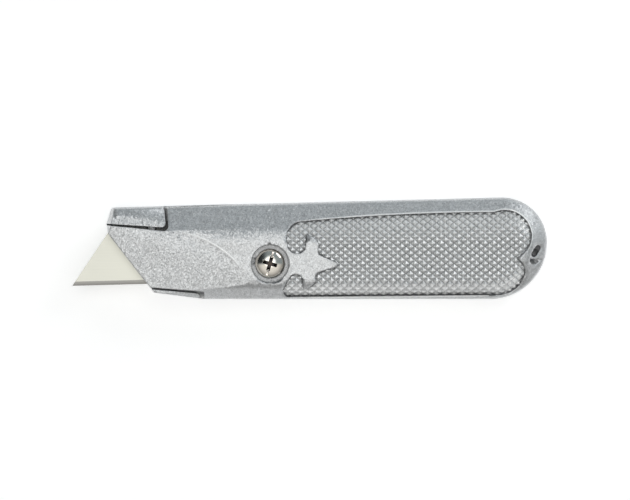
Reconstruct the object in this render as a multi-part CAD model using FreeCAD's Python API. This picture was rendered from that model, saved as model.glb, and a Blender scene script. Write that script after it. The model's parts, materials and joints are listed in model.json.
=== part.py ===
"""Fixed-blade utility knife. Two die-cast half shells are clamped round a trapezoid blade by one screw.

The knife lies on its side. +X runs from the blade's tip to the tail, +Y from the cutting edge to the spine,
and +Z is up, from the rear shell's resting side to the front shell. Everything is modelled about the
parting plane, z = 0, and raised by half the body's thickness when it is written, so that the rear side
lies on z = 0. The origin is on the screw's axis.

rear_shell    lower half: nose tabs, blade bed with two locating lugs, tapped screw hole, spare blade store
front_shell   upper half: counterbored screw hole, cheek that clamps the blade, two locating pins
clamp_screw   pan head screw with a combined slot and cross recess
fitted_blade  the trapezoid blade in the nose
spare_blade_N the blades stacked in the store
"""

import FreeCAD
import Part
import math
import os

Vector = FreeCAD.Vector
os.makedirs("parts", exist_ok=True)

# --- body, millimetres ---
half_thickness = 8.5  # parting plane to side face
edge_half_width = 3.6  # parting plane to where the spine and belly start to slope
nose_x = -50.7  # foremost point of the nose
spine_at_nose = 17.35  # height of the spine above the screw's axis at the nose
spine_slope = 0.0256  # the spine rises towards the tail
belly_y = -11.0
tail_x = 85.6
tail_middle_y = 6.6  # height of the tail's furthest point
spine_bevel = 9.8  # width of the slope along the spine, before the crown cuts it
tail_bevel = 5.9
belly_bevel = 4.5
side_round = 5.0  # fillet between slope and side face
edge_round = 2.0  # fillet between slope and edge
crown_start_y = 5.9  # at x = 0, the side face starts to curve away to the spine's slope
crown_radius = 13.0
far = 75.0  # how far forward the uncut body is drawn

# --- nose ---
nose_top = (-49.2, 17.2)
nose_front = (-50.7, 12.3)
nose_brow = (-49.9, 9.2)
nose_foot = (-37.0, -7.4)
nose_chin = (-35.7, -8.95)
chin_end_x = -20.0  # the chin's slope meets the belly here
nose_lean = 0.30  # the nose's end leans back this much on each side
nose_round = 1.2  # the corner between the nose's end and the spine
crease_low = (-8.7, -1.7)  # two points on the line where the cheek leaves the side face
crease_high = (-17.7, 6.4)
cheek_slope = 0.14  # square to that line

# --- interlocking tabs of the rear shell, and the notches for them in the front shell ---
tab_rear_x = -32.1
tab_edge = (12.3, 11.1)  # height of the upper tab's lower edge at the nose and at its rear end
notch_edge = (11.85, 9.9)
tab_gap_x = 0.9  # behind the upper tab
tab_lean = 0.7  # the tab's rear end leans forward towards the spine
low_tab_rear_x = -21.8
low_tab_edge = (-7.85, -9.3)  # at the nose's foot and at the lower tab's rear end
low_notch_edge = (-7.4, -8.65)
low_gap_x = 1.5
tab_round = 1.2
tab_strip_y = (15.2, 13.3)  # below this height, at the nose and at its rear end, the upper tab is flatter
tab_strip_slope = 0.2
ledge_end_x = -9.0  # the front shell's spine is set down from the tab to here
ledge_drop = 0.9

# --- blade ---
blade_length = 60.0
blade_height = 19.0
blade_thickness = 0.6
blade_end_run = 13.5  # how far each end slopes in
bevel_width = 1.3
edge_thickness = 0.04
notch_spacing = 10.0
notch_radius = 1.4
notch_depth = 3.2
blade_tip = (-61.3, -6.9)
blade_tilt = 1.5  # degrees
blade_gap = 0.2  # round the blade in its bed
blade_play = 0.05  # above and below the blade
lug_radius = 1.15
lug_height = 0.65
tab_relief = 2.2  # the tab is hollow this far up, so that the blade can be tilted out

# --- spare blades ---
spare_count = 5
spare_tip = (8.0, -6.9)
store_depth = 4.25
store_gap = 0.4
stack_gap = 0.02

# --- screw and its holes ---
head_radius = 4.55
head_rim = 1.1
head_height = 2.5
shank_radius = 2.4
thread_depth = 0.45
shank_length = 12.2
drive_width = 1.15
drive_depth = 1.3
drive_angle = 74.0
cross_span = 5.0
cross_depth = 1.8
seat_depth = 2.8
counterbore_radius = 5.95
shank_clearance = 0.35
thread_clearance = 0.06
tapped_end_gap = 0.35

# --- walls and small features ---
wall = 2.0
grip_depth = 0.6
lanyard_hole = (82.0, 3.86)  # where it opens in the front shell
lanyard_lean = (0.10, 0.14)  # it slants, so that no light shows through
lanyard_radius = 0.95
mouth_radius = 0.85
mouth_reach = 1.2  # the mouth of the hole is this much longer to either side
mouth_angle = 57.0
mouth_floor = 4.6
scoop_x = 81.8
scoop_radius = 2.0
scoop_top_y = 1.5
pins = [(-1.0, 12.3), (77.5, 11.0)]
pin_radius = 1.5
pin_length = 2.4
pin_clearance = 0.12
cavity_front_x = 9.5
cavity_rear_x = 74.5

UP = Vector(0, 0, 1)


def prism(points, low, high):
    """A straight prism over a polygon in the XY plane."""
    corners = [Vector(x, y, low) for x, y in points]
    face = Part.Face(Part.makePolygon(corners + corners[:1]))
    return face.extrude(UP * (high - low))


def block(x0, x1, y0, y1, z0, z1):
    """A box between two corners."""
    return Part.makeBox(x1 - x0, y1 - y0, z1 - z0, Vector(x0, y0, z0))


def post(x, y, radius, low, high):
    """An upright cylinder."""
    return Part.makeCylinder(radius, high - low, Vector(x, y, low), UP)


def outline(start, steps, low, high):
    """A prism over lines and arcs. A step of one point is a line to it; a step of two is an arc."""
    at = Vector(start[0], start[1], low)
    edges = []
    for step in steps:
        points = [Vector(x, y, low) for x, y in step]
        if len(points) == 1:
            edges.append(Part.makeLine(at, points[0]))
        else:
            edges.append(Part.Arc(at, points[0], points[1]).toShape())
        at = points[-1]
    return Part.Face(Part.Wire(edges)).extrude(UP * (high - low))


def spine_y(x):
    """Height of the spine at x."""
    return spine_at_nose + spine_slope * (x - nose_x)


def flip(shape):
    """The same shape on the other side of the parting plane."""
    return shape.mirror(Vector(0, 0, 0), UP)


# --------------------------------------------------------------------------- body


def ring(top, tail, belly, z):
    """The body's outline at height z, moved in by three amounts: spine, two tail arcs and belly."""
    lean = math.sqrt(1 + spine_slope**2)
    right = tail_x - tail
    upper = (spine_y(right) - top * lean - tail_middle_y) / (lean + spine_slope)
    lower = tail_middle_y - (belly_y + belly)
    half = math.sqrt(0.5)
    touch = Vector(right - upper - upper * spine_slope / lean, tail_middle_y + upper / lean, z)
    upper_mid = Vector(right - upper + upper * half, tail_middle_y + upper * half, z)
    end = Vector(right, tail_middle_y, z)
    lower_mid = Vector(right - lower + lower * half, tail_middle_y - lower * half, z)
    foot = Vector(right - lower, belly_y + belly, z)
    start = Vector(-far, spine_y(-far) - top * lean, z)
    back = Vector(-far, belly_y + belly, z)
    return Part.Wire(
        [
            Part.makeLine(start, touch),
            Part.Arc(touch, upper_mid, end).toShape(),
            Part.Arc(end, lower_mid, foot).toShape(),
            Part.makeLine(foot, back),
            Part.makeLine(back, start),
        ]
    )


def bevel_inset(inset, width):
    """Where a slope meets the side face once the whole surface has moved in by inset."""
    rise = half_thickness - edge_half_width
    slope = rise / width
    return (rise + inset * (math.sqrt(1 + slope**2) - 1)) / slope


def crown(inset):
    """A long prism under the side face: flat, then an arc that runs into the spine's slope."""
    side_z = half_thickness - inset
    start = crown_start_y - spine_slope * (far + 5) - 0.25 * inset
    radius = crown_radius - inset
    end_turn = math.atan((half_thickness - edge_half_width) / spine_bevel)

    def on_arc(turn):
        return Vector(-far - 5, start + radius * math.sin(turn), side_z - radius * (1 - math.cos(turn)))

    top = on_arc(0)
    last = on_arc(end_turn)
    run_out = last + Vector(0, 20, -20 * math.tan(end_turn - math.radians(2)))
    corners = [run_out, Vector(-far - 5, run_out.y, -9), Vector(-far - 5, -40, -9), Vector(-far - 5, -40, side_z)]
    edges = [Part.Arc(top, on_arc(end_turn / 2), last).toShape(), Part.makePolygon([last] + corners + [top])]
    length = tail_x + far + 20
    return Part.Face(Part.Wire(edges)).extrude(Vector(length, spine_slope * length, 0))


def cheek_waste(inset):
    """A wedge over the cheek, on the nose side of the crease."""
    along = Vector(crease_high[0] - crease_low[0], crease_high[1] - crease_low[1], 0).normalize()
    away = Vector(-along.y, along.x, 0)
    foot = Vector(crease_low[0], crease_low[1], half_thickness - inset)
    reach = 60
    deep = foot + away * reach - UP * (cheek_slope * reach)
    triangle = [foot, deep, foot + away * reach + UP, foot + UP, foot]
    face = Part.Face(Part.makePolygon([point - along * 80 for point in triangle]))
    return face.extrude(along * 160)


def half_body(inset=0.0):
    """One half of the body, above the parting plane, with its surface moved in by inset."""
    side_z = half_thickness - inset
    edge_z = edge_half_width - 0.6 * inset
    slopes = [bevel_inset(inset, width) for width in (spine_bevel, tail_bevel, belly_bevel)]
    rings = [ring(inset, inset, inset, z) for z in (0.0, edge_z)] + [ring(*slopes, side_z)]
    shape = Part.makeLoft(rings, True, True)
    for z, radius in ((side_z, side_round - inset), (edge_z, edge_round)):
        rim = [e for e in shape.Edges if all(abs(v.Z - z) < 1e-6 for v in e.Vertexes)]
        rim = [e for e in rim if any(v.X > -far + 1 for v in e.Vertexes)]
        shape = shape.makeFillet(radius, rim)
    shape = shape.common(crown(inset))
    shape = shape.cut(cheek_waste(inset))
    return shape.cut(nose_waste(inset)).cut(nose_corner())


def nose_waste(inset=0.0):
    """Everything in front of the nose's profile."""
    run_x = nose_top[0] - nose_front[0]
    run_y = nose_top[1] - nose_front[1]
    up = (30 - nose_front[1]) / run_y
    profile = [
        (nose_front[0] + up * run_x, 30),
        nose_front,
        nose_brow,
        nose_foot,
        nose_chin,
        (chin_end_x, belly_y),
        (chin_end_x, -30),
        (-120, -30),
        (-120, 30),
    ]
    waste = prism([(x + inset, y) for x, y in profile], -1, half_thickness + 1)
    lean = []
    for z in (0.0, half_thickness + 1):
        shift = nose_lean * z + inset
        low = nose_front[0] - 40 * run_x / run_y + shift
        high = nose_front[0] + up * run_x + shift
        points = [Vector(low, nose_front[1] - 40, z), Vector(high, 30, z), Vector(-120, 30, z)]
        lean.append(Part.makePolygon(points + [Vector(-120, nose_front[1] - 40, z), points[0]]))
    return waste.fuse(Part.makeLoft(lean, True, True))


def slope_z(x, y):
    """Height of the spine's slope above the parting plane."""
    lean = math.sqrt(1 + spine_slope**2)
    return edge_half_width + (spine_y(x) - y) / lean * (half_thickness - edge_half_width) / spine_bevel


def nose_corner():
    """What rounds off the corner between the nose's end and the spine."""
    end = Vector(nose_top[0] - nose_front[0], nose_top[1] - nose_front[1], 0).normalize()
    spine = Vector(1, spine_slope, 0).normalize()
    run = (spine_y(nose_front[0]) - nose_front[1]) / (end.y - spine_slope * end.x)
    corner = Vector(nose_front[0], nose_front[1], 0) + end * run
    reach = nose_round * math.tan(end.getAngle(spine) / 2)
    inwards = Vector(end.y, -end.x, 0)
    wires = []
    for z in (0.0, edge_half_width, half_thickness + 1):
        drop = max(0.0, z - edge_half_width) * spine_bevel / (half_thickness - edge_half_width)
        top = corner + Vector(nose_lean * z, -drop, z)
        first = top - end * reach
        last = top + spine * reach
        centre = first + inwards * nose_round
        middle = centre + (top - centre).normalize() * nose_round
        away = (top - centre).normalize() * 6
        arc = Part.Arc(first, middle, last).toShape()
        wires.append(Part.Wire([arc, Part.makeLine(last, top + away), Part.makeLine(top + away, first)]))
    return Part.makeLoft(wires, True, True)


def tab_strip():
    """What leaves the upper tab flatter along its free edge."""
    ends = [(nose_x, tab_strip_y[0]), (tab_rear_x, tab_strip_y[1])]
    first, last = [Vector(x, y, slope_z(x, y)) for x, y in ends]
    along = (last - first).normalize()
    away = Vector(along.y, -along.x, 0).normalize()
    reach = 7
    corners = [first, first + away * reach + UP * (tab_strip_slope * reach)]
    corners += [first + away * reach + UP * 9, first + UP * 9, first]
    return Part.Face(Part.makePolygon([point - along * 6 for point in corners])).extrude(along * 32)


def tab(front_x, rear_x, edge, lean, high, corner_round):
    """The prism of one nose tab, from its free edge outwards to high."""
    rate = (edge[1] - edge[0]) / (rear_x - front_x)
    points = [(-60, edge[0] - rate * (60 + front_x)), (rear_x, edge[1])]
    points += [(rear_x - lean, spine_y(rear_x) if high > 0 else high), (rear_x - lean, high), (-60, high)]
    shape = prism(points, -1e-3, half_thickness + 1)
    corner = [e for e in shape.Edges if all(abs(v.X - rear_x) + abs(v.Y - edge[1]) < 1e-6 for v in e.Vertexes)]
    return shape.makeFillet(corner_round, corner)


def tabs():
    """Both tabs' prisms."""
    upper = tab(nose_x, tab_rear_x, tab_edge, tab_lean, 25, tab_round)
    return upper.fuse(tab(nose_foot[0], low_tab_rear_x, low_tab_edge, 0.0, -25, 0.6 * tab_round))


def notches():
    """The space for both tabs in the front shell."""
    upper = tab(nose_x, tab_rear_x + tab_gap_x, notch_edge, tab_lean, 25, 1.2 * tab_round)
    rear_x = low_tab_rear_x + low_gap_x
    return upper.fuse(tab(nose_foot[0], rear_x, low_notch_edge, 0.0, -25, 0.3 * tab_round))


# --------------------------------------------------------------------------- blades


def place_blade(shape, tip, tilt, z):
    """Move a blade, or its pocket, from its own axes to where it lies."""
    shape = shape.copy()
    shape.rotate(Vector(0, 0, 0), UP, tilt)
    shape.translate(Vector(tip[0], tip[1], z))
    return shape


def blade_points(gap=0.0):
    """The blade's trapezoid, grown by gap on every side."""
    slant = math.hypot(blade_end_run, blade_height)
    rate = blade_end_run / blade_height
    low = gap * slant / blade_height + gap * rate
    high = gap * slant / blade_height - gap * rate
    return [
        (-low, -gap),
        (blade_length + low, -gap),
        (blade_length - blade_end_run + high, blade_height + gap),
        (blade_end_run - high, blade_height + gap),
    ]


def make_blade():
    """A trapezoid blade, ground on both sides, with two notches in its back. Its middle plane is z = 0."""
    half = blade_thickness / 2
    edge = edge_thickness / 2
    section = [(0, -edge), (bevel_width, -half), (25, -half), (25, half), (bevel_width, half), (0, edge)]
    corners = [Vector(-5, y, z) for y, z in section]
    stock = Part.Face(Part.makePolygon(corners + corners[:1])).extrude(Vector(blade_length + 10, 0, 0))
    blade = prism(blade_points(), -half, half).common(stock)
    floor = blade_height - notch_depth + notch_radius
    for side in (-1, 1):
        x = blade_length / 2 + side * notch_spacing / 2
        blade = blade.cut(block(x - notch_radius, x + notch_radius, floor, 25, -1, 1))
        blade = blade.cut(post(x, floor, notch_radius, -1, 1))
    return blade


def lugs(low, high):
    """Two posts that stand in the fitted blade's notches, in the blade's own axes."""
    y = blade_height - notch_depth + notch_radius
    centres = [blade_length / 2 + side * notch_spacing / 2 for side in (-1, 1)]
    posts = [post(x, y, lug_radius, low, high) for x in centres]
    return posts[0].fuse(posts[1])


# --------------------------------------------------------------------------- shells


def grip_panel():
    """The outline of the knurled panel, round a smooth spearhead at its front."""
    steps = [
        [(69.0, -9.65)],
        [(75.6, -7.9), (78.7, -2.7)],
        [(78.3, -0.8), (76.3, 1.6)],
        [(78.1, 3.2)],
        [(80.2, 6.2), (80.65, 8.9)],
        [(78.2, 14.2), (69.2, 15.9)],
        [(36.75, 15.0), (8.66, 12.9)],
        [(5.5, 10.2), (5.3, 6.3)],
        [(8.1, 3.0), (10.9, 4.4)],
        [(11.3, 8.7)],
        [(13.7, 7.8), (15.05, 5.75)],
        [(14.75, 4.2), (15.05, 2.7)],
        [(20.3, 0.4)],
        [(20.7, -0.3), (20.2, -1.0)],
        [(14.7, -2.7)],
        [(14.0, -3.6), (14.2, -5.2)],
        [(12.8, -6.8), (10.4, -7.8)],
        [(10.0, -4.4)],
        [(8.2, -3.2), (6.3, -3.9)],
        [(4.3, -7.2)],
        [(4.0, -8.7), (5.5, -10.3)],
    ]
    return outline((5.5, -10.3), steps, 0, half_thickness + 1)


def coring():
    """Pockets that lighten the nose behind the blade."""
    low = -4.9
    high = 8.0
    lean = (nose_brow[0] - nose_foot[0]) / (nose_brow[1] - nose_foot[1])
    front = [(nose_foot[0] + lean * (y - nose_foot[1]) + 2.8, y) for y in (high, low)]
    pockets = [front + [(-29.5, low), (-29.5, high)]]
    pockets.append([(-26.5, low), (-9.5, low), (-9.5, 0.0), (-13.5, high), (-26.5, high)])
    shape = prism(pockets[0], -0.5, half_thickness)
    return shape.fuse(prism(pockets[1], -0.5, half_thickness)).common(half_body(wall))


def lanyard_cut():
    """The slanted hole at the tail, its long mouth in the front shell, and the scoop beside it."""
    x, y = lanyard_hole
    along = Vector(lanyard_lean[0], lanyard_lean[1], 1)
    mouth_z = (mouth_floor + half_thickness) / 2
    hole = Part.makeCylinder(lanyard_radius, 50, Vector(x, y, mouth_z) - along * 25, along)
    mouth = block(-mouth_reach, mouth_reach, -mouth_radius, mouth_radius, mouth_floor, 20)
    for side in (-1, 1):
        mouth = mouth.fuse(post(side * mouth_reach, 0, mouth_radius, mouth_floor, 20))
    mouth.rotate(Vector(0, 0, 0), UP, mouth_angle)
    mouth.translate(Vector(x, y, 0))
    ball = Part.makeSphere(scoop_radius, Vector(scoop_x, scoop_top_y, 6.2))
    groove = Part.makeCylinder(1.2, 8, Vector(scoop_x, scoop_top_y, 5.9), Vector(1, -0.1, -0.25))
    scoop = ball.fuse(groove).common(block(scoop_x - 8, scoop_x + 12, -10, scoop_top_y, 0, 12))
    return hole.fuse(mouth).fuse(scoop)


def make_front(upper, recess):
    """The front shell."""
    seat_z = half_thickness - seat_depth
    shell = upper.cut(notches())
    ledge = [(tab_rear_x - 1, spine_y(tab_rear_x) - ledge_drop), (ledge_end_x, spine_y(ledge_end_x) + 0.02)]
    shell = shell.cut(prism(ledge + [(ledge_end_x, 25), (tab_rear_x - 1, 25)], -1, 10))
    shell = shell.cut(recess)
    shell = shell.cut(post(0, 0, counterbore_radius, seat_z, 20))
    shell = shell.cut(post(0, 0, shank_radius + shank_clearance, -1, 20))
    cavity = half_body(wall).common(block(cavity_front_x, cavity_rear_x, -30, 30, -0.5, half_thickness))
    shell = shell.cut(extend_down(cavity)).cut(extend_down(coring()))
    for x, y in pins:
        shell = shell.fuse(post(x, y, pin_radius, -pin_length, 0.5))
    return shell.cut(lanyard_cut())


def extend_down(cavity):
    """The cavity, and a thin slab below it so that it opens cleanly through the parting plane."""
    flat = [f for f in cavity.Faces if f.BoundBox.ZMax < 1e-4]
    for face in flat:
        cavity = cavity.fuse(face.extrude(Vector(0, 0, -0.5)))
    return cavity


def make_rear(upper, recess):
    """The rear shell."""
    shell = flip(upper.cut(recess)).fuse(upper.common(tabs()).cut(tab_strip()))
    bed_floor = -(blade_thickness + 2 * blade_play)
    bed = prism(blade_points(blade_gap), 0, tab_relief - bed_floor)
    shell = shell.cut(place_blade(bed, blade_tip, blade_tilt, bed_floor))
    shell = shell.cut(flip(coring()))
    shell = shell.fuse(place_blade(lugs(-0.5, lug_height), blade_tip, blade_tilt, bed_floor))
    store = prism(blade_points(store_gap), -store_depth, 1)
    shell = shell.cut(place_blade(store, spare_tip, 0.0, 0.0))
    inner = flip(half_body(wall + grip_depth))
    first = spare_tip[0] + 9
    for i in range(4):
        x = first + 11.5 * i
        channel = block(x, x + 9.5, spare_tip[1] + 2.5, spare_tip[1] + 15, -20, -store_depth + 0.5)
        shell = shell.cut(channel.common(inner))
    tip_z = half_thickness - seat_depth - shank_length
    shell = shell.cut(post(0, 0, shank_radius + thread_clearance, tip_z - tapped_end_gap, 20))
    for x, y in pins:
        shell = shell.cut(post(x, y, pin_radius + pin_clearance, -pin_length - 0.3, 1))
    return shell.cut(lanyard_cut())


def make_screw():
    """Pan head screw, seated on the counterbore's floor."""
    seat_z = half_thickness - seat_depth + blade_play
    dome = head_height - head_rim
    sphere = (head_radius**2 + dome**2) / (2 * dome)
    head = post(0, 0, head_radius, seat_z, seat_z + head_height)
    head = head.common(Part.makeSphere(sphere, Vector(0, 0, seat_z + head_height - sphere)))
    shank = post(0, 0, shank_radius, seat_z - shank_length, seat_z)
    point = [e for e in shank.Edges if e.BoundBox.ZMax < seat_z - shank_length + 0.01]
    screw = head.fuse(shank.makeChamfer(0.6, point))
    top = seat_z + head_height
    slot = block(-6, 6, -drive_width / 2, drive_width / 2, top - drive_depth, top + 1)
    cross = block(-drive_width / 2, drive_width / 2, -cross_span / 2, cross_span / 2, top - cross_depth, top + 1)
    centre = block(-cross_span / 2, cross_span / 2, -drive_width / 2, drive_width / 2, top - cross_depth, top + 1)
    drive = slot.fuse(cross).fuse(centre)
    drive.rotate(Vector(0, 0, 0), UP, drive_angle)
    return screw.cut(drive)


def write(name, shape):
    """Raise a solid so that the rear side lies on z = 0, check it and write it."""
    shape = shape.copy()
    shape.translate(Vector(0, 0, half_thickness))
    if shape.ShapeType != "Solid" and len(shape.Solids) == 1:
        shape = shape.Solids[0]
    box = shape.BoundBox
    print(name, shape.isValid(), len(shape.Solids), "cm3", round(shape.Volume / 1000, 2))
    print("   ", [round(v, 2) for v in (box.XMin, box.XMax, box.YMin, box.YMax, box.ZMin, box.ZMax)])
    shape.exportStep("parts/" + name + ".step")


body = half_body()
panel = body.cut(half_body(grip_depth)).common(grip_panel())
write("rear_shell", make_rear(body, panel))
write("front_shell", make_front(body, panel))
write("clamp_screw", make_screw())
blade = make_blade()
blade_z = -blade_thickness / 2 - blade_play
write("fitted_blade", place_blade(blade, blade_tip, blade_tilt, blade_z))
pitch = blade_thickness + stack_gap
first_z = -store_depth + blade_play + blade_thickness / 2
for i in range(spare_count):
    write("spare_blade_" + str(i + 1), place_blade(blade, spare_tip, 0.0, first_z + pitch * i))
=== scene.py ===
# %% [markdown]
# # A fixed-blade utility knife, laid on a pale table
# The knife has two die-cast half shells, painted silver, held together by one screw. The shells
# clamp a steel blade at the nose and hide five spare ones. The measured model of every piece comes
# from the frame, so this notebook only gives each piece its finish and the fine detail that a
# measured model leaves out: rounded edges, knurled grips, a screw thread and ground steel.

# %% Load the frame
import json
import math

import bmesh
import bpy
from mathutils import Matrix, Vector
from mathutils.bvhtree import BVHTree


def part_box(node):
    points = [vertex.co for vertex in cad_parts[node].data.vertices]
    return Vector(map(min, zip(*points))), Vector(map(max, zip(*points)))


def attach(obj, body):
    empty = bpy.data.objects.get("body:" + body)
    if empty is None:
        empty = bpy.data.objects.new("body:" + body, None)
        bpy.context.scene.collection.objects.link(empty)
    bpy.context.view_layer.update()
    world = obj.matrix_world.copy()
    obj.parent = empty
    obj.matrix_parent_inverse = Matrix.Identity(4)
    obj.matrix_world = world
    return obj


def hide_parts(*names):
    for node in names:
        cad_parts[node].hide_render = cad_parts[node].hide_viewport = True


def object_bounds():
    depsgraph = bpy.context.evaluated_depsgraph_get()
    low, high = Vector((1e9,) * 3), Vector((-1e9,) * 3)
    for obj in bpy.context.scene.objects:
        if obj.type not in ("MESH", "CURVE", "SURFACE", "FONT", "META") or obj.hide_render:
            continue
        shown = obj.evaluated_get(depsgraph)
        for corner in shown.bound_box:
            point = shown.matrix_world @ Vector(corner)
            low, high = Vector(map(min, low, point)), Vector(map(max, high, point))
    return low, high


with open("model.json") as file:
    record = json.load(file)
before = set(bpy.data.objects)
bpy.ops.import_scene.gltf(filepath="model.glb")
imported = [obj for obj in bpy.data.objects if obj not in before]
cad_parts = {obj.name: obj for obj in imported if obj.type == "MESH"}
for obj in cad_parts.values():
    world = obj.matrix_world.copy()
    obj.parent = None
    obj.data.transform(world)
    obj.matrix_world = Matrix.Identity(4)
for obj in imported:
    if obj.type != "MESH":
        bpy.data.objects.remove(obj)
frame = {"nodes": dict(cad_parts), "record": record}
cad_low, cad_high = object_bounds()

nodes = frame["nodes"]
MM = 0.001
print("size in mm:", [round(v / MM, 1) for v in cad_high - cad_low])

# %% [markdown]
# ## Small helpers
# Every piece ends as a mesh object that rides on one body of the frame, so a few helpers do that
# for all of them. They take the mesh from bmesh, because its tools also clean up and cut a mesh.

# %% Helpers that make a piece
def add_object(name, mesh, *materials):
    """Links a new object with these materials."""
    piece = bpy.data.objects.new(name, mesh)
    bpy.context.scene.collection.objects.link(piece)
    if mesh.materials:
        mesh.materials.clear()
    for material in materials:
        mesh.materials.append(material)
    return piece


def mesh_from(bm, name, smooth=True):
    """Turns a bmesh into a mesh with smooth or flat faces."""
    for face in bm.faces:
        face.smooth = smooth
    mesh = bpy.data.meshes.new(name)
    bm.to_mesh(mesh)
    bm.free()
    return mesh


def baked_mesh(piece, name):
    """A plain mesh of a piece with its modifiers applied."""
    evaluated = piece.evaluated_get(bpy.context.evaluated_depsgraph_get())
    mesh = bpy.data.meshes.new_from_object(evaluated)
    mesh.name = name
    return mesh


# %% [markdown]
# ## Effects that the finishes share
# The silver paint holds fine metal flakes. Close up, each flake catches the light at its own angle,
# and the cast surface under the paint is faintly uneven. Where a surface is shut in, its colour is
# darkened: a painted shade.
# Each effect is a node group, so that its values can differ from one finish to the next: the paints
# use all three, and the metals use the last two.

# %% A helper for node trees
def make_group(name, inputs, outputs):
    """A shader node group with named sockets, and its input and output nodes."""
    group = bpy.data.node_groups.new(name, "ShaderNodeTree")
    for label, kind, value in inputs:
        socket = group.interface.new_socket(label, in_out="INPUT", socket_type=kind)
        socket.default_value = value
    for label, kind in outputs:
        group.interface.new_socket(label, in_out="OUTPUT", socket_type=kind)
    return group, group.nodes.new("NodeGroupInput"), group.nodes.new("NodeGroupOutput")


def add_node(tree, kind, links=(), **settings):
    """Adds a node. Links pairs an input, by name or number, with a socket or a value."""
    node = tree.nodes.new("ShaderNode" + kind)
    for key, value in settings.items():
        setattr(node, key, value)
    for key, value in dict(links).items():
        if hasattr(value, "is_output"):
            tree.links.new(value, node.inputs[key])
        else:
            node.inputs[key].default_value = value
    return node


NUMBER, COLOUR, VECTOR = "NodeSocketFloat", "NodeSocketColor", "NodeSocketVector"

# %% [markdown]
# The flakes are the cells of a Voronoi texture. Each cell has a random colour, which serves both as
# the flake's tilt and as its tone. The Bevel node bends the normals near an edge, so that the edges
# of a casting take the light as round ones do. A bevel of the mesh would leave spikes at the nose,
# where many short edges meet.

# %% Flakes: tilted normals and a light or dark tone for each flake
flakes, flakes_in, flakes_out = make_group(
    "metal_flakes",
    [
        ("Position", VECTOR, (0, 0, 0)),
        ("Flakes per metre", NUMBER, 3000.0),
        ("Tilt", NUMBER, 0.2),
        ("Edge radius", NUMBER, 0.3 * MM),
    ],
    [("Normal", VECTOR), ("Tone", NUMBER)],
)
cell = add_node(
    flakes,
    "TexVoronoi",
    {"Vector": flakes_in.outputs["Position"], "Scale": flakes_in.outputs["Flakes per metre"]},
)
centred = add_node(
    flakes, "VectorMath", {0: cell.outputs["Color"], 1: (0.5, 0.5, 0.5)}, operation="SUBTRACT"
)
tilted = add_node(
    flakes,
    "VectorMath",
    {0: centred.outputs[0], "Scale": flakes_in.outputs["Tilt"]},
    operation="SCALE",
)
rounded = add_node(flakes, "Bevel", {"Radius": flakes_in.outputs["Edge radius"]}, samples=6)
bent = add_node(
    flakes, "VectorMath", {0: rounded.outputs[0], 1: tilted.outputs[0]}, operation="ADD"
)
unit = add_node(flakes, "VectorMath", {0: bent.outputs[0]}, operation="NORMALIZE")
split = add_node(flakes, "SeparateColor", {0: cell.outputs["Color"]})
flakes.links.new(unit.outputs[0], flakes_out.inputs["Normal"])
flakes.links.new(split.outputs[2], flakes_out.inputs["Tone"])
print("group", flakes.name, "has", len(flakes.nodes), "nodes")

# %% Unevenness: broad patches and a fine grain, from 0 to 1
uneven, uneven_in, uneven_out = make_group(
    "uneven_surface",
    [
        ("Position", VECTOR, (0, 0, 0)),
        ("Patches per metre", NUMBER, 60.0),
        ("Grains per metre", NUMBER, 900.0),
    ],
    [("Patches", NUMBER), ("Grain", NUMBER)],
)
patches = add_node(
    uneven,
    "TexNoise",
    {
        "Vector": uneven_in.outputs["Position"],
        "Scale": uneven_in.outputs["Patches per metre"],
        "Detail": 3.0,
    },
)
grain = add_node(
    uneven,
    "TexNoise",
    {
        "Vector": uneven_in.outputs["Position"],
        "Scale": uneven_in.outputs["Grains per metre"],
        "Detail": 2.0,
    },
)
uneven.links.new(patches.outputs[0], uneven_out.inputs["Patches"])
uneven.links.new(grain.outputs[0], uneven_out.inputs["Grain"])

# %% Painted shade: darker where the surface is shut in, such as seams and the feet of the knurls
painted_shade, painted_shade_in, painted_shade_out = make_group(
    "painted_shade_in_hollows",
    [
        ("Colour", COLOUR, (0.5, 0.5, 0.5, 1)),
        ("Reach", NUMBER, 2.0 * MM),
        ("Starts at", NUMBER, 0.25),
        ("Full at", NUMBER, 0.85),
        ("Amount", NUMBER, 0.5),
    ],
    [("Colour", COLOUR)],
)
shut_in = add_node(painted_shade, "AmbientOcclusion", {"Distance": painted_shade_in.outputs["Reach"]}, samples=6)
covered = add_node(painted_shade, "Math", {0: 1.0, 1: shut_in.outputs["AO"]}, operation="SUBTRACT")
deep = add_node(
    painted_shade,
    "MapRange",
    {
        "Value": covered.outputs[0],
        "From Min": painted_shade_in.outputs["Starts at"],
        "From Max": painted_shade_in.outputs["Full at"],
    },
    interpolation_type="SMOOTHSTEP",
)
weight = add_node(
    painted_shade, "Math", {0: deep.outputs[0], 1: painted_shade_in.outputs["Amount"]}, operation="MULTIPLY"
)
# The colour of the painted shade in seams and hollows.
PAINTED_SHADE_COLOUR = (0.04, 0.04, 0.045, 1)
darker = add_node(
    painted_shade,
    "Mix",
    {0: weight.outputs[0], 6: painted_shade_in.outputs["Colour"], 7: PAINTED_SHADE_COLOUR},
    data_type="RGBA",
)
painted_shade.links.new(darker.outputs[2], painted_shade_out.inputs["Colour"])
print("groups:", [group.name for group in (flakes, uneven, painted_shade)])

# %% [markdown]
# ## The finishes
# There are four paints and four metals. The paint is coarse on the shells. On the knurls it is
# finer and painted lighter, along the ridges it is lighter still as a painted highlight, and inside
# the lanyard hole it is nearly black as a painted shade. The metals are the lacquered steel of the
# blade, which looks a little warm, the bare ground steel of its edge, the screw's nickel plate, and
# a dark brown painted shade deep in its drive. What tells them apart is how rough they are and what
# breaks
# up their reflections: flakes, grinding lines or painted shade in their hollows.

# %% Helpers for a finish
def new_material(name):
    """A material with an empty tree but for a Principled BSDF and its output."""
    material = bpy.data.materials.new(name)
    material.use_nodes = True
    tree = material.node_tree
    return material, tree, tree.nodes["Principled BSDF"]


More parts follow.
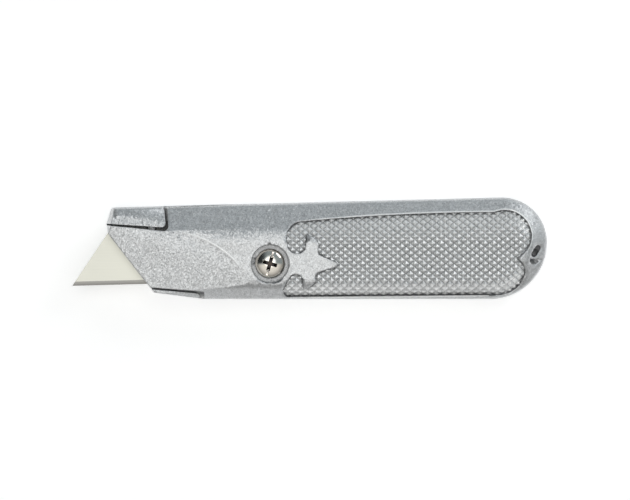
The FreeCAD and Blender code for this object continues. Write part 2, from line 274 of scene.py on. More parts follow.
def place_group(tree, group, position=None, **values):
    """Places a shared effect in a material's tree and sets its inputs."""
    node = add_node(tree, "Group", node_tree=group)
    if position:
        tree.links.new(position, node.inputs["Position"])
    for label, value in values.items():
        node.inputs[label.replace("_", " ")].default_value = value
    return node


def varied_colour(tree, colour, detail, tones, patches, patch_tones):
    """A colour made darker and lighter by a fine detail and by broad patches."""
    tone = add_node(
        tree, "MapRange", {"Value": detail, "To Min": tones[0], "To Max": tones[1]}
    )
    patch_tone = add_node(
        tree, "MapRange", {"Value": patches, "To Min": patch_tones[0], "To Max": patch_tones[1]}
    )
    both = add_node(
        tree, "Math", {0: tone.outputs[0], 1: patch_tone.outputs[0]}, operation="MULTIPLY"
    )
    toned = add_node(tree, "VectorMath", {0: colour, "Scale": both.outputs[0]}, operation="SCALE")
    return toned.outputs[0]


def add_painted_shade(tree, colour, values):
    """Painted shade over a colour. Its values are reach, where it starts and is full, and how much.
    """
    reach, start, full, amount = values
    with_shade = place_group(tree, painted_shade, Reach=reach, Starts_at=start, Full_at=full, Amount=amount)
    tree.links.new(colour, with_shade.inputs["Colour"])
    return with_shade.outputs["Colour"]


# %% Silver paint
FLAKES_PER_METRE = 3400.0
PAINT_PATCH_TONES = (0.94, 1.05)


def silver_paint(name, colour, tones, tilt, bump, edge, painted_shade_values, roughness=0.38, coat=0.12):
    """Painted die casting: flakes, a soft unevenness and painted shade in what is shut in."""
    material, tree, shader = new_material(name)
    position = add_node(tree, "TexCoord").outputs["Object"]
    patchy = place_group(tree, uneven, position)
    flaky = place_group(
        tree, flakes, position, Flakes_per_metre=FLAKES_PER_METRE, Tilt=tilt, Edge_radius=edge
    )
    toned = varied_colour(
        tree, colour, flaky.outputs["Tone"], tones, patchy.outputs["Patches"], PAINT_PATCH_TONES
    )
    tree.links.new(add_painted_shade(tree, toned, painted_shade_values), shader.inputs["Base Color"])
    height = add_node(tree, "Bump", {"Height": patchy.outputs["Grain"], "Distance": bump})
    tree.links.new(flaky.outputs["Normal"], height.inputs["Normal"])
    tree.links.new(height.outputs[0], shader.inputs["Normal"])
    shader.inputs["Metallic"].default_value = 0.64
    shader.inputs["Roughness"].default_value = roughness
    shader.inputs["Coat Weight"].default_value = coat
    shader.inputs["Coat Roughness"].default_value = 0.25
    return material


shell_paint = silver_paint(
    "silver_paint",
    (0.66, 0.67, 0.68),
    tones=(0.80, 1.20),
    tilt=0.34,
    bump=0.03 * MM,
    edge=0.5 * MM,
    painted_shade_values=(2.0 * MM, 0.25, 0.85, 0.85),
)
# The knurls' copy of the paint is lighter than the shells': painted light, which also offsets their
# painted shade at the feet.
knurl_paint = silver_paint(
    "silver_paint_on_knurls",
    (0.94, 0.95, 0.955),
    tones=(0.92, 1.24),
    tilt=0.22,
    bump=0.02 * MM,
    edge=0.1 * MM,
    painted_shade_values=(1.0 * MM, 0.02, 0.4, 0.8),
)
# A lighter copy of the paint for the ridges: a painted highlight.
highlight_paint = silver_paint(
    "painted_highlight_silver_paint",
    (0.96, 0.97, 0.97),
    tones=(0.98, 1.10),
    tilt=0.1,
    bump=0.0,
    edge=0.1 * MM,
    painted_shade_values=(2.0 * MM, 0.25, 0.85, 0.0),
    roughness=0.5,
)
# A nearly black copy of the paint for the lanyard hole and its mouth: a painted shade.
shaded_paint = silver_paint(
    "shaded_silver_paint",
    (0.10, 0.10, 0.105),
    tones=(0.80, 1.20),
    tilt=0.2,
    bump=0.03 * MM,
    edge=0.1 * MM,
    painted_shade_values=(2.0 * MM, 0.25, 0.85, 0.9),
    coat=0.0,
)
print("paint nodes:", len(shell_paint.node_tree.nodes))

# %% Steel and nickel
LINE_STRETCH = 60  # how many times longer than wide a grinding line is
LINE_TONES = (0.93, 1.07)
STEEL_PATCH_TONES = (0.95, 1.04)


def ground_steel(name, colour, roughness, lines_along, line_scale, line_bump, painted_shade_values):
    """Metal with grinding lines that run along one axis of the piece."""
    material, tree, shader = new_material(name)
    position = add_node(tree, "TexCoord").outputs["Object"]
    stretch = [line_scale] * 3
    stretch[lines_along] = line_scale / LINE_STRETCH
    lines_at = add_node(tree, "VectorMath", {0: position, 1: stretch}, operation="MULTIPLY")
    lines = add_node(
        tree, "TexNoise", {"Vector": lines_at.outputs[0], "Scale": 1.0, "Detail": 3.0}
    ).outputs[0]
    patches = place_group(tree, uneven, position).outputs["Patches"]
    toned = varied_colour(tree, colour, lines, LINE_TONES, patches, STEEL_PATCH_TONES)
    tree.links.new(add_painted_shade(tree, toned, painted_shade_values), shader.inputs["Base Color"])
    rough = add_node(
        tree,
        "MapRange",
        {"Value": lines, "To Min": roughness - 0.06, "To Max": roughness + 0.08},
    )
    tree.links.new(rough.outputs[0], shader.inputs["Roughness"])
    height = add_node(tree, "Bump", {"Height": lines, "Distance": line_bump})
    tree.links.new(height.outputs[0], shader.inputs["Normal"])
    shader.inputs["Metallic"].default_value = 1.0
    return material


# Painted shade on the metals: where the blades are shut in by the shells, and in the screw's drive.
SEAM_SHADE = (5 * MM, 0.5, 0.78, 0.97)
RECESS_SHADE = (1.6 * MM, 0.10, 0.42, 0.95)
blade_steel = ground_steel(
    "lacquered_blade_steel", (0.66, 0.66, 0.595), 0.42, 0, 4000.0, 0.006 * MM, SEAM_SHADE
)
edge_steel = ground_steel(
    "ground_edge_steel", (0.305, 0.30, 0.285), 0.34, 1, 9000.0, 0.012 * MM, SEAM_SHADE
)
nickel = ground_steel(
    "nickel_plate", (0.90, 0.85, 0.77), 0.12, 0, 2500.0, 0.004 * MM, RECESS_SHADE
)
# A dark brown for the faces deep in the screw's cross: a painted shade.
drive_shade = ground_steel(
    "painted_shade_in_the_drive", (0.15, 0.105, 0.07), 0.4, 0, 2500.0, 0.01 * MM, RECESS_SHADE
)
print("metals:", [metal.name for metal in (blade_steel, edge_steel, nickel, drive_shade)])

# %% [markdown]
# ## The two shells
# The measured shells have the right form, so copies of them stand in for them. The copies get what
# the measured ones lack: the soft lower edge of the cheek, and the thin ridges along the cheek and
# the grip's rim, which get a lighter paint as a painted highlight. The mesh is first welded and its
# flat faces are joined, because a bevel needs edges that are whole.

# %% The panel's outline
def trace(start, steps, spacing=0.5):
    """Points round an outline, in mm. A step is a line's end, or an arc's middle and end."""
    points = [Vector(start)]
    for step in steps:
        a, b = points[-1], Vector(step[-1])
        if len(step) == 1:
            points.append(b)
            continue
        m = Vector(step[0])
        side, along = m - a, b - a
        twice = 2 * (side.x * along.y - side.y * along.x)
        centre = a + Vector(
            (
                (along.y * side.length_squared - side.y * along.length_squared) / twice,
                (side.x * along.length_squared - along.x * side.length_squared) / twice,
            )
        )
        radius = (a - centre).length
        turn = (a - centre).angle_signed(m - centre) + (m - centre).angle_signed(b - centre)
        count = max(3, round(abs(turn) * radius / spacing))
        first = math.atan2(a.y - centre.y, a.x - centre.x)
        for i in range(1, count + 1):
            at = first - turn * i / count
            points.append(centre + radius * Vector((math.cos(at), math.sin(at))))
    return points[:-1]


LOWER_EDGE_BELOW = -8.0  # points further down than this belong to the outline's lower edge


def inset(points, distance, lower_distance):
    """The outline moved inwards. It runs anticlockwise, so inwards is to the left."""
    moved = []
    for i, point in enumerate(points):
        before = (point - points[i - 1]).normalized()
        after = (points[(i + 1) % len(points)] - point).normalized()
        middle = (before + after).normalized()
        left = Vector((-middle.y, middle.x))
        stretch = min(1.6, 1 / max(0.3, left.dot(Vector((-before.y, before.x)))))
        away = distance if point.y > LOWER_EDGE_BELOW else lower_distance
        moved.append(point + left * away * stretch)
    return moved


grip_outline = trace(
    (5.5, -10.3),
    [
        [(69.0, -9.65)],
        [(75.6, -7.9), (78.7, -2.7)],
        [(78.3, -0.8), (76.3, 1.6)],
        [(78.1, 3.2)],
        [(80.2, 6.2), (80.65, 8.9)],
        [(78.2, 14.2), (69.2, 15.9)],
        [(36.75, 15.0), (8.66, 12.9)],
        [(5.5, 10.2), (5.3, 6.3)],
        [(8.1, 3.0), (10.9, 4.4)],
        [(11.3, 8.7)],
        [(13.7, 7.8), (15.05, 5.75)],
        [(14.75, 4.2), (15.05, 2.7)],
        [(20.3, 0.4)],
        [(20.7, -0.3), (20.2, -1.0)],
        [(14.7, -2.7)],
        [(14.0, -3.6), (14.2, -5.2)],
        [(12.8, -6.8), (10.4, -7.8)],
        [(10.0, -4.4)],
        [(8.2, -3.2), (6.3, -3.9)],
        [(4.3, -7.2)],
        [(4.0, -8.7), (5.5, -10.3)],
    ],
)
print("outline points:", len(grip_outline))

# %% Paths for the ridges
CREASE = ((-28.0, 10.0), (-21.0, 7.8), (-13.9, 3.7), (-9.0, -1.6))  # the cheek's upper edge
RIM_OUT = 0.3  # how far outside the panel's outline the rim's ridges lie


def smooth_curve(points, count):
    """Places along the one cubic through four points, spaced evenly in between."""
    path = []
    for i in range(count + 1):
        t = 3 * i / count
        at = Vector((0, 0))
        for k, point in enumerate(points):
            weight = 1.0
            for m in range(4):
                if m != k:
                    weight *= (t - m) / (k - m)
            at += weight * Vector(point)
        path.append(at)
    return path


def rim_path(first, last):
    """Places along the outside of the panel's rim, a millimetre apart."""
    rim = inset(grip_outline, -RIM_OUT, -RIM_OUT)

    def nearest(place):
        return min(range(len(rim)), key=lambda i: (rim[i] - Vector(place)).length)

    run = rim[nearest(first) : nearest(last) + 1]
    path = [run[0]]
    for a, b in zip(run, run[1:]):
        steps = max(1, round((b - a).length))
        path += [a.lerp(b, k / steps) for k in range(1, steps + 1)]
    return path


crease_path = smooth_curve(CREASE, 40)
upper_rim_path = rim_path((79.0, 3.6), (9.5, 13.0))
lower_rim_path = rim_path((5.5, -10.3), (70.0, -9.6))
print("places on the ridges:", len(crease_path), len(upper_rim_path), len(lower_rim_path))


# %% A ridge in lighter paint, a painted highlight
RIDGE_END = 0.05  # its width at either end, in millimetres
RIDGE_SUNK = 0.01  # how far its edges lie in the surface
MID_HEIGHT = 8.5  # the height of the joint between the shells
WELL_OUT = 50  # a height well outside the knife, where rays start
SHELL_PAINTS = (shell_paint, highlight_paint, shaded_paint)
HIGHLIGHT, SHADED = 1, 2  # where the last two are among them


def add_ridge(bm, path, up, wide, high):
    """Lays a low ridge along a path, on the shell's side that faces up (1) or down (-1)."""
    surface = BVHTree.FromBMesh(bm)
    rows = []
    for i, point in enumerate(path):
        ahead = path[min(i + 1, len(path) - 1)] - path[max(i - 1, 0)]
        across = Vector((-ahead.y, ahead.x)).normalized()
        part = i / (len(path) - 1)
        swell = min(1.0, 4 * part, 4 * (1 - part)) ** 0.5
        row = []
        for side, rise in ((-1, -RIDGE_SUNK), (0, high * swell), (1, -RIDGE_SUNK)):
            x, y = point + across * side * (RIDGE_END + (wide - RIDGE_END) * swell)
            start = Vector((x * MM, y * MM, (MID_HEIGHT + up * WELL_OUT) * MM))
            hit = surface.ray_cast(start, Vector((0, 0, -up)))[0]
            row.append(bm.verts.new((x * MM, y * MM, hit.z + up * rise * MM)))
        rows.append(row)
    ridge = []
    for a, b in zip(rows, rows[1:]):
        for k in range(3):
            n = (k + 1) % 3
            ridge.append(bm.faces.new((a[k], b[k], b[n], a[n])))
    ridge += [bm.faces.new(rows[0]), bm.faces.new(list(reversed(rows[-1])))]
    bmesh.ops.recalc_face_normals(bm, faces=ridge)
    # The ridge's faces get the lighter paint, a painted highlight.
    for face in ridge:
        face.material_index = HIGHLIGHT


# %% The cheek's lower edge
CHEEK_SLOPE = 0.14  # how steeply the cheek falls away from the crease
CHEEK_AWAY = (-0.6689, -0.7433)
CHEEK_ROUND = 1.5 * MM
CHEEK_MATCH = math.radians(0.6)  # how near to the slope a face of the cheek has to lie
BELLY_LEAN = 0.3  # how far a belly face has to look down and outwards


def soften_cheek(bm, up):
    """Rounds the edges between the cheek and the belly."""
    slope = Vector((CHEEK_SLOPE * CHEEK_AWAY[0], CHEEK_SLOPE * CHEEK_AWAY[1], up)).normalized()
    cheek = {face for face in bm.faces if face.normal.angle(slope) < CHEEK_MATCH}
    lower = []
    for edge in {edge for face in cheek for edge in face.edges}:
        others = [face.normal for face in edge.link_faces if face not in cheek]
        if len(others) == 1 and others[0].y < -BELLY_LEAN and others[0].z * up > BELLY_LEAN:
            lower.append(edge)
    print("cheek:", len(cheek), "faces and", len(lower), "edges below")
    bmesh.ops.bevel(
        bm,
        geom=lower,
        offset=CHEEK_ROUND,
        segments=6,
        profile=0.5,
        affect="EDGES",
        clamp_overlap=True,
    )


# %% [markdown]
# ## The lanyard hole
# A hole right through the tail takes a cord, and it widens into a long mouth at the front. Little
# light reaches into it, so its wall and the mouth are painted nearly black: a painted shade. The
# faces are picked by where they are: near the hole's axis, which the record gives, or within the
# mouth.

# %% Faces of the hole and its mouth
hole = next(mount for mount in frame["record"]["mounts"] if mount["name"] == "hang_hole")
hole_middle, hole_axis = Vector(hole["pos_m"]), Vector(hole["axis"]).normalized()
HOLE_REACH = (hole["dims"]["r_mm"] + 0.15) * MM
MOUTH_AT = Vector((82.0, 3.86))  # the middle of the mouth, in millimetres
MOUTH_ALONG = Vector((math.cos(math.radians(57.0)), math.sin(math.radians(57.0))))
MOUTH_REACH, MOUTH_RADIUS, MOUTH_FLOOR = 1.2, 0.85, 13.1


def in_lanyard_hole(polygon):
    """Whether a face is part of the hole's wall, or of the mouth's wall or floor."""
    away = polygon.center - hole_middle
    off_axis = (away - away.dot(hole_axis) * hole_axis).length
    if off_axis < HOLE_REACH and abs(polygon.normal.dot(hole_axis)) < 0.5:
        return True
    flat = polygon.center.xy / MM - MOUTH_AT
    along = max(-MOUTH_REACH, min(MOUTH_REACH, flat.dot(MOUTH_ALONG)))
    beside = (flat - along * MOUTH_ALONG).length < MOUTH_RADIUS + 0.05
    return beside and polygon.center.z > (MOUTH_FLOOR - 0.1) * MM


def shade_lanyard_hole(mesh):
    """Gives the lanyard hole and its mouth the nearly black paint, a painted shade."""
    wall = [polygon for polygon in mesh.polygons if in_lanyard_hole(polygon)]
    for polygon in wall:
        polygon.material_index = SHADED
    print("faces in the lanyard hole:", len(wall))


# %% Copies that stand in for measured pieces
WELD = 0.003 * MM
SHORT_EDGE = 0.005 * MM
FLAT_ANGLE = math.radians(0.4)


def clean_copy(node):
    """A bmesh of a measured piece, welded and with its flat faces joined."""
    bm = bmesh.new()
    bm.from_mesh(nodes[node].data)
    bmesh.ops.remove_doubles(bm, verts=bm.verts, dist=WELD)
    bmesh.ops.dissolve_degenerate(bm, edges=bm.edges, dist=SHORT_EDGE)
    bmesh.ops.dissolve_limit(bm, angle_limit=FLAT_ANGLE, verts=bm.verts, edges=bm.edges)
    return bm


def stand_in(mesh, node, body, materials, turn, bevel_width=0.0):
    """Makes a mesh the piece that replaces a measured one. Edges over the turn stay sharp."""
    mesh.set_sharp_from_angle(angle=turn)
    piece = add_object(mesh.name, mesh, *materials)
    if bevel_width:
        bevel = piece.modifiers.new("edges", "BEVEL")
        bevel.width = bevel_width
        bevel.segments = 3
        bevel.limit_method = "ANGLE"
        bevel.use_clamp_overlap = False
        bevel.angle_limit = turn
    shade = piece.modifiers.new("shading", "WEIGHTED_NORMAL")
    shade.keep_sharp = True
    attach(piece, body)
    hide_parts(node)
    return piece


# %% Both shells
SHELL_TURN = math.radians(32.0)


def shell_piece(node, name, body, up):
    """A shell with its ridges in a painted highlight, its soft cheek and the painted shade in its
    hole.
    """
    bm = clean_copy(node)
    soften_cheek(bm, up)
    add_ridge(bm, crease_path, up, wide=0.32, high=0.05)
    add_ridge(bm, upper_rim_path, up, wide=0.26, high=0.05)
    add_ridge(bm, lower_rim_path, up, wide=0.2, high=0.04)
    mesh = mesh_from(bm, name)
    shade_lanyard_hole(mesh)
    stand_in(mesh, node, body, SHELL_PAINTS, SHELL_TURN)
    print(name, "has", len(mesh.polygons), "faces")


shell_piece("rear_shell", "rear_shell_casting", "base", -1)
shell_piece("front_shell", "front_shell_casting", "cover", 1)

# %% [markdown]
# ## The knurled grips
# Each side has a sunk panel filled with small four-sided points, so that the knife doesn't slip.
# They are real geometry, because they throw small shadows and show in the outline. The points lie
# on a slanted lattice: u and v count the grooves that run down to the right and up to the right. A
# sheet over the whole lattice follows the panel's floor, found by casting rays down onto the shell,
# and is then cut to the panel's outline.

# %% The panel's floor
KNURL_WIDE, KNURL_TALL = 2.7, 2.1  # one point's diagonals, in millimetres
KNURL_STEPS = 5  # faces across each point
KNURL_HEIGHT = 0.6
PANEL_DEPTH = 0.6
MOAT = 0.1  # bare strip inside the rim
LOWER_FILL = 0.1  # how far the grip rises towards its lower rim
LOWER_FILL_FROM = -8.4  # where that rise starts; it ends a millimetre further down
SHEET_THICK = 0.25
LATTICE_X, LATTICE_Y = (3.0, 82.0), (-11.2, 17.0)  # a little more than the panel


def inside(x, y, outline):
    """Whether a place is within an outline."""
    hit = False
    for i, b in enumerate(outline):
        a = outline[i - 1]
        if (a.y > y) != (b.y > y) and x < a.x + (y - a.y) * (b.x - a.x) / (b.y - a.y):
            hit = not hit
    return hit


shell = bmesh.new()
shell.from_mesh(nodes["front_shell"].data)
shell_tree = BVHTree.FromBMesh(shell)
shell.free()
cut_line = inset(grip_outline, MOAT, -MOAT)


def floor_height(x, y):
    """Height of the panel's floor in millimetres, or None beyond the shell."""
    hit = shell_tree.ray_cast(Vector((x * MM, y * MM, WELL_OUT * MM)), Vector((0, 0, -1)))[0]
    if hit is None:
        return None
    return hit.z / MM - (0.0 if inside(x, y, grip_outline) else PANEL_DEPTH)


print("points on the line that the grip is cut to:", len(cut_line))


# %% The lattice of points
def knurl_sheet():
    """The lattice of points over the panel and a little beyond, as a closed slab."""
    bm = bmesh.new()
    grid = {}
    steps = KNURL_STEPS
    for i in range(-5 * steps, 42 * steps):
        for j in range(-8 * steps, 40 * steps):
            u, v = i / steps, j / steps
            x, y = (u + v) / 2 * KNURL_WIDE, (u - v) / 2 * KNURL_TALL
            if not (LATTICE_X[0] < x < LATTICE_X[1] and LATTICE_Y[0] < y < LATTICE_Y[1]):
                continue
            height = floor_height(x, y)
            if height is None:
                continue
            height += LOWER_FILL * min(1.0, max(0.0, LOWER_FILL_FROM - y))
            rise = 1 - max(abs(2 * (u % 1) - 1), abs(2 * (v % 1) - 1))
            top = bm.verts.new((x * MM, y * MM, (height + KNURL_HEIGHT * rise) * MM))
            base = bm.verts.new((x * MM, y * MM, (height - SHEET_THICK) * MM))
            grid[i, j] = (top, base)
    edges = {}
    for (i, j), corner in grid.items():
        around = [corner] + [grid.get(key) for key in ((i + 1, j), (i + 1, j + 1), (i, j + 1))]
        if None in around:
            continue
        bm.faces.new([pair[0] for pair in reversed(around)])
        bm.faces.new([pair[1] for pair in around])
        for k in range(4):
            a, b = around[k], around[(k + 1) % 4]
            key = (a[0], b[0])
            if (b[0], a[0]) in edges:
                del edges[b[0], a[0]]
            else:
                edges[key] = (a, b)
    for a, b in edges.values():
        bm.faces.new((a[0], b[0], b[1], a[1]))
    loose = [v for v in bm.verts if not v.link_faces]
    bmesh.ops.delete(bm, geom=loose, context="VERTS")
    bmesh.ops.recalc_face_normals(bm, faces=bm.faces)
    return mesh_from(bm, "knurl_sheet", smooth=False)


# %% The lattice cut to the panel
def outline_prism(outline, low, high):
    """An upright prism over an outline."""
    bm = bmesh.new()
    bottom = [bm.verts.new((p.x * MM, p.y * MM, low * MM)) for p in outline]
    face = bm.faces.new(bottom)
    lifted = bmesh.ops.extrude_face_region(bm, geom=[face])["geom"]
    tops = [v for v in lifted if isinstance(v, bmesh.types.BMVert)]
    bmesh.ops.translate(bm, verts=tops, vec=(0, 0, (high - low) * MM))
    bmesh.ops.recalc_face_normals(bm, faces=bm.faces)
    return mesh_from(bm, "outline_prism", smooth=False)


sheet = add_object("knurl_stock", knurl_sheet())
cutter = add_object("knurl_cutter", outline_prism(cut_line, 5, 20))
trim = sheet.modifiers.new("trim", "BOOLEAN")
trim.operation = "INTERSECT"
trim.object = cutter
trim.solver = "MANIFOLD"
grip_mesh = baked_mesh(sheet, "front_knurl")
bpy.data.objects.remove(sheet)
bpy.data.objects.remove(cutter)
print("knurl faces on one side:", len(grip_mesh.polygons))

# %% The same grip on both sides
front_knurl = add_object("front_grip_knurl", grip_mesh, knurl_paint)
rear_mesh = grip_mesh.copy()
turned_over = Matrix.Translation((0, 0, cad_high.z)) @ Matrix.Scale(-1, 4, (0, 0, 1))
rear_mesh.transform(turned_over)
rear_mesh.flip_normals()
rear_knurl = add_object("rear_grip_knurl", rear_mesh, knurl_paint)
for piece, body in ((front_knurl, "cover"), (rear_knurl, "base")):
    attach(piece, body)
print("knurled grips:", front_knurl.name, rear_knurl.name)

# %% [markdown]
# ## The blades
# All six blades are alike: a trapezoid stamped from strip, lacquered, then ground to an edge on
# both sides. The grinding leaves the narrow facet along the edge bare and darker than the rest, so
# its faces get a finish of their own. They are the only faces whose normals lean a little, which is
# how they are picked out. A blade's few long edges take a real bevel well.

# %% Blades
BLADE_TURN = math.radians(40.0)
BLADE_BEVEL = 0.03 * MM
FACET_LEAN = (0.9, 0.9995)  # how far up a ground facet's normal points


def blade_piece(node):
    """A copy of a blade with its ground facets in bare steel. Each blade is a body of its own."""
    mesh = mesh_from(clean_copy(node), node + "_steel")
    finishes = (blade_steel, edge_steel)
    piece = stand_in(mesh, node, node, finishes, BLADE_TURN, BLADE_BEVEL)
    facets = [p for p in mesh.polygons if FACET_LEAN[0] < abs(p.normal.z) < FACET_LEAN[1]]
    for polygon in facets:
        polygon.material_index = 1
    print(piece.name, "has", len(mesh.polygons), "faces,", len(facets), "of them ground")


for blade in ["fitted_blade"] + ["spare_blade_%d" % number for number in range(1, 6)]:
    blade_piece(blade)

# %% [markdown]
# ## The clamp screw
# A pan head screw is turned and then struck: the head is a low dome with a rolled rim, and the
# punch leaves a slot across it with a deeper cross in the middle. The head is a spun profile, the
# drive is cut from it with one long bar and two tapered ones, and the thread is a wave wrapped
# round the shank.

# %% Screw head and shank
screw_low, screw_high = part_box("clamp_screw")
HEAD_RADIUS = screw_high.x
SHANK_RADIUS = 2.4 * MM
HEAD_HEIGHT = 2.5 * MM
THREAD_PITCH = 1.06 * MM
THREAD_DEPTH = 0.45 * MM
RIM_HEIGHT = 1.1 * MM
head_top = screw_high.z
seat = head_top - HEAD_HEIGHT
dome = HEAD_HEIGHT - RIM_HEIGHT
dome_ball = (HEAD_RADIUS**2 + dome**2) / (2 * dome)  # radius of the ball that the dome is part of


def spun(profile, count, name):
    """A closed body spun from a profile of (radius, height) pairs, first and last on the axis."""
    bm = bmesh.new()
    rows = []
    for radius, height in profile:
        if radius == 0:
            rows.append([bm.verts.new((0, 0, height))])
            continue
        turns = [2 * math.pi / count * k for k in range(count)]
        ring = [(radius * math.cos(turn), radius * math.sin(turn), height) for turn in turns]
        rows.append([bm.verts.new(place) for place in ring])
    for low, high in zip(rows, rows[1:]):
        for k in range(count):
            n = (k + 1) % count
            if len(low) == 1:
                bm.faces.new((low[0], high[n], high[k]))
            elif len(high) == 1:
                bm.faces.new((low[k], low[n], high[0]))
            else:
                bm.faces.new((low[k], low[n], high[n], high[k]))
    bmesh.ops.recalc_face_normals(bm, faces=bm.faces)
    return mesh_from(bm, name)


def head_profile():
    """Pan head: flat underneath, a rolled rim and a round dome."""
    neck = SHANK_RADIUS * 0.8
    foot = seat - 0.3 * MM
    points = [(0, foot), (neck, foot), (neck, seat), (HEAD_RADIUS - 0.2 * MM, seat)]
    points += [(HEAD_RADIUS, seat + 0.2 * MM), (HEAD_RADIUS, seat + RIM_HEIGHT - 0.25 * MM)]
    steepest = math.asin(HEAD_RADIUS / dome_ball)
    for k in range(1, 20):
        turn = steepest * 0.97 * (1 - k / 20)
        points.append((dome_ball * math.sin(turn), head_top - dome_ball * (1 - math.cos(turn))))
    return points + [(0, head_top)]


head = add_object("screw_head_stock", spun(head_profile(), 96, "screw_head"))
print("head faces:", len(head.data.polygons), "radius in mm:", round(HEAD_RADIUS / MM, 2))


# %% Slot and cross
ABOVE_HEAD = 1 * MM  # how far a bar stands above the head
FOOT_WIDTH, TOP_WIDTH = 0.82, 1.1  # shares of a bar's width at its foot and its top


def tapered_bar(length, width, depth, narrow):
    """A bar centred on the axis, level at the head's top and narrower at its foot."""
    bm = bmesh.new()
    bmesh.ops.create_cube(bm, size=1.0)
    for vert in bm.verts:
        low = vert.co.z < 0
        vert.co.x *= length * (narrow if low else 1.0 + (1 - narrow) * ABOVE_HEAD / depth)
        vert.co.y *= width * (FOOT_WIDTH if low else TOP_WIDTH)
        vert.co.z = head_top - depth if low else head_top + ABOVE_HEAD
    return mesh_from(bm, "drive_bar", smooth=False)


DRIVE_TURN = math.radians(74.0)
# Length, width, depth, and the share of the length that is left at the foot.
SLOT = (3 * HEAD_RADIUS, 0.7 * MM, 0.9 * MM, 1.0)
CROSS = (5.0 * MM, 1.15 * MM, 1.9 * MM, 0.5)
for bar_size, turn in ((SLOT, 0.0), (CROSS, 0.0), (CROSS, math.pi / 2)):
    bar = add_object("drive_bar", tapered_bar(*bar_size))
    bar.data.transform(Matrix.Rotation(DRIVE_TURN + turn, 4, "Z"))
    cut = head.modifiers.new("drive", "BOOLEAN")
    cut.operation = "DIFFERENCE"
    cut.object = bar
    cut.solver = "EXACT"
    struck = baked_mesh(head, "screw_head")
    head.modifiers.clear()
    head.data = struck
    bpy.data.objects.remove(bar)
print("head faces after the drive is struck:", len(head.data.polygons))


# %% Thread
LOW_FADE, HIGH_FADE = 1.0 * MM, 0.8 * MM  # the lengths over which the thread fades out


def threaded_shank():
    """The shank as a wave that climbs one pitch a turn and fades out at both ends."""
    bm = bmesh.new()
    around, rows_per_pitch = 48, 10
    low, high = screw_low.z, seat
    count = int((high - low) / (THREAD_PITCH / rows_per_pitch))
    rows = []
    for r in range(count + 1):
        z = low + (high - low) * r / count
        fade = min(1.0, (z - low) / LOW_FADE, (high - z) / HIGH_FADE)
        row = []
        for k in range(around):
            part = k / around
            wave = abs(2 * ((z / THREAD_PITCH - part) % 1) - 1)
            crest = min(1.0, max(0.0, 1.25 * wave - 0.1))
            radius = SHANK_RADIUS - THREAD_DEPTH * (1 - crest * max(0.0, fade))
            angle = 2 * math.pi * part
            row.append(bm.verts.new((radius * math.cos(angle), radius * math.sin(angle), z)))
        rows.append(row)
    for a, b in zip(rows, rows[1:]):
        for k in range(around):
            n = (k + 1) % around
            bm.faces.new((a[k], a[n], b[n], b[k]))
    bm.faces.new(list(reversed(rows[0])))
    bm.faces.new(rows[-1])
    bmesh.ops.recalc_face_normals(bm, faces=bm.faces)
    return mesh_from(bm, "screw_thread")


# %% The whole screw
bm = bmesh.new()
bm.from_mesh(head.data)
bm.from_mesh(threaded_shank())
screw_mesh = mesh_from(bm, "clamp_screw_nickel")
screw = add_object("clamp_screw_nickel", screw_mesh, nickel, drive_shade)
bpy.data.objects.remove(head)


CROSS_SHARE = 0.62  # the share of the head's radius that the cross takes up
BELOW_DOME = 0.45 * MM


def in_drive(polygon):
    """Whether a face is deep in the cross: near the axis, and well below the dome."""
    out = polygon.center.xy.length
    dome_height = head_top - out**2 / (2 * dome_ball)
    return out < CROSS_SHARE * HEAD_RADIUS and seat < polygon.center.z < dome_height - BELOW_DOME


# The faces deep in the cross get the dark brown: a painted shade.
drive = [polygon for polygon in screw.data.polygons if in_drive(polygon)]
for polygon in drive:
    polygon.material_index = 1
print("dull faces in the drive:", len(drive))

# %% The screw's edges, and what it replaces
soften = screw.modifiers.new("edges", "BEVEL")
soften.width = 0.07 * MM
soften.segments = 2
soften.limit_method = "ANGLE"
soften.angle_limit = math.radians(40)
screw.modifiers.new("shading", "WEIGHTED_NORMAL")
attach(screw, "screw")
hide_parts("clamp_screw")
print("screw faces:", len(screw.data.polygons))

# %% [markdown]
# ## The table, the lights and the camera
# The knife lies on a plain white table. A metal shows what it reflects, so most of the light comes
# from the surroundings: a bright ceiling for the faces that look up, a paler wall on the belly's
# side and a dim one on the spine's, which gives the slopes their tone. One lamp beyond the tail
# adds the sharper highlights. The camera looks straight down with a long lens, so that the knife
# keeps its proportions.

# %% Table
TABLE_HALF = 3.0
TABLE_GAP = 0.2 * MM
table_mesh = bpy.data.meshes.new("table")
corners = [(x * TABLE_HALF, y * TABLE_HALF, 0) for x, y in ((-1, -1), (1, -1), (1, 1), (-1, 1))]
table_mesh.from_pydata(corners, [], [(0, 1, 2, 3)])
table = add_object("table", table_mesh)
table.location.z = -TABLE_GAP
table_finish, _, table_shader = new_material("white_table")
table_shader.inputs["Base Color"].default_value = (0.93, 0.93, 0.93, 1)
table_shader.inputs["Roughness"].default_value = 0.9
table_shader.inputs["Specular IOR Level"].default_value = 0.1
table_shader.inputs["Emission Color"].default_value = (1, 1, 1, 1)
table_shader.inputs["Emission Strength"].default_value = 0.46
table.data.materials.append(table_finish)
print("table:", 2 * TABLE_HALF, "m wide")

# %% The lamp
key_place = Vector((0.55, 0.53, 0.40))
knife_middle = Vector((0.014, 0.004, 0.008))
lamp = bpy.data.lights.new("key_lamp", "AREA")
lamp.shape = "RECTANGLE"
lamp.size = lamp.size_y = 0.34
lamp.energy = 1.1
key_lamp = bpy.data.objects.new("key_lamp", lamp)
bpy.context.scene.collection.objects.link(key_lamp)
key_lamp.location = key_place
key_lamp.rotation_euler = (knife_middle - key_place).to_track_quat("-Z", "Y").to_euler()
print("lamps:", len(bpy.data.lights))

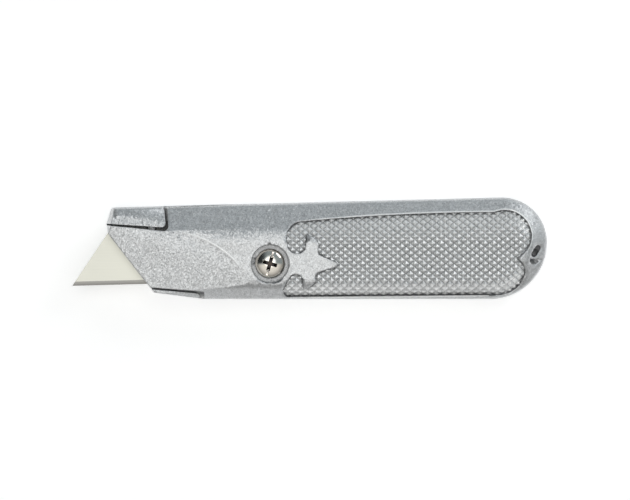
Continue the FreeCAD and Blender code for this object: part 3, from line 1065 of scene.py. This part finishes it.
# %% The surroundings
CEILING_AT = Vector((0.0, 0.14, 0.99)).normalized()
CEILING = 1.85  # brightness overhead
CEILING_EDGE = (0.87, 0.97)  # where it fades, as the cosine of the angle from its middle
WALL_LOW, WALL_HIGH = 0.10, 0.78  # the belly's side, near the table and higher up
WALL_DARK, WALL_DIM = 0.03, 0.30  # the spine's side, towards the nose and the tail
COOL, WARM = (0.78, 0.92, 1.0, 1), (1.0, 0.99, 0.965, 1)


def studio_sky():
    """A bright ceiling, a paler wall on the belly's side and a dark one on the spine's."""
    world = bpy.data.worlds.new("studio_sky")
    world.use_nodes = True
    tree = world.node_tree
    direction = add_node(tree, "TexCoord").outputs["Generated"]
    parts = add_node(tree, "SeparateXYZ", {0: direction})
    side = add_node(
        tree,
        "MapRange",
        {"Value": parts.outputs["Y"], "From Min": 0.08, "From Max": -0.12},
        interpolation_type="SMOOTHSTEP",
    )
    height = add_node(
        tree,
        "MapRange",
        {
            "Value": parts.outputs["Z"],
            "From Min": 0.40,
            "From Max": 0.90,
            "To Min": WALL_LOW,
            "To Max": WALL_HIGH,
        },
        interpolation_type="SMOOTHSTEP",
    )
    shade = add_node(
        tree,
        "MapRange",
        {
            "Value": parts.outputs["X"],
            "From Min": -0.60,
            "From Max": -0.1,
            "To Min": WALL_DARK,
            "To Max": WALL_DIM,
        },
        interpolation_type="SMOOTHSTEP",
    )
    walls = add_node(
        tree,
        "Mix",
        {0: side.outputs[0], 2: shade.outputs[0], 3: height.outputs[0]},
        data_type="FLOAT",
    )
    towards = add_node(tree, "VectorMath", {0: direction, 1: CEILING_AT}, operation="DOT_PRODUCT")
    ceiling = add_node(
        tree,
        "MapRange",
        {
            "Value": towards.outputs["Value"],
            "From Min": CEILING_EDGE[0],
            "From Max": CEILING_EDGE[1],
        },
        interpolation_type="SMOOTHSTEP",
    )
    level = add_node(
        tree,
        "Mix",
        {0: ceiling.outputs[0], 2: walls.outputs[0], 3: CEILING},
        data_type="FLOAT",
    )
    warm = add_node(tree, "Math", {0: side.outputs[0], 1: ceiling.outputs[0]}, operation="MAXIMUM")
    tint = add_node(tree, "Mix", {0: warm.outputs[0], 6: COOL, 7: WARM}, data_type="RGBA")
    backdrop = tree.nodes["Background"]
    tree.links.new(tint.outputs[2], backdrop.inputs["Color"])
    tree.links.new(level.outputs[0], backdrop.inputs["Strength"])
    return world


bpy.context.scene.world = studio_sky()
bpy.context.scene.view_settings.view_transform = "Standard"
print("nodes in the surroundings:", len(bpy.context.scene.world.node_tree.nodes))

# %% Camera
camera_data = bpy.data.cameras.new("camera")
camera = bpy.data.objects.new("camera", camera_data)
bpy.context.scene.collection.objects.link(camera)
bpy.context.scene.camera = camera
DISTANCE = 1.5
VIEW_WIDTH = 0.19474  # what the picture's width covers at the knife
camera_data.sensor_width = 36.0
camera_data.lens = camera_data.sensor_width * DISTANCE / VIEW_WIDTH
camera_data.clip_start = 0.01
aim = Vector((0.01388, 0.0042, 0.011))
camera.location = aim + Vector((0, 0, DISTANCE))
print("lens in mm:", round(camera_data.lens, 1))
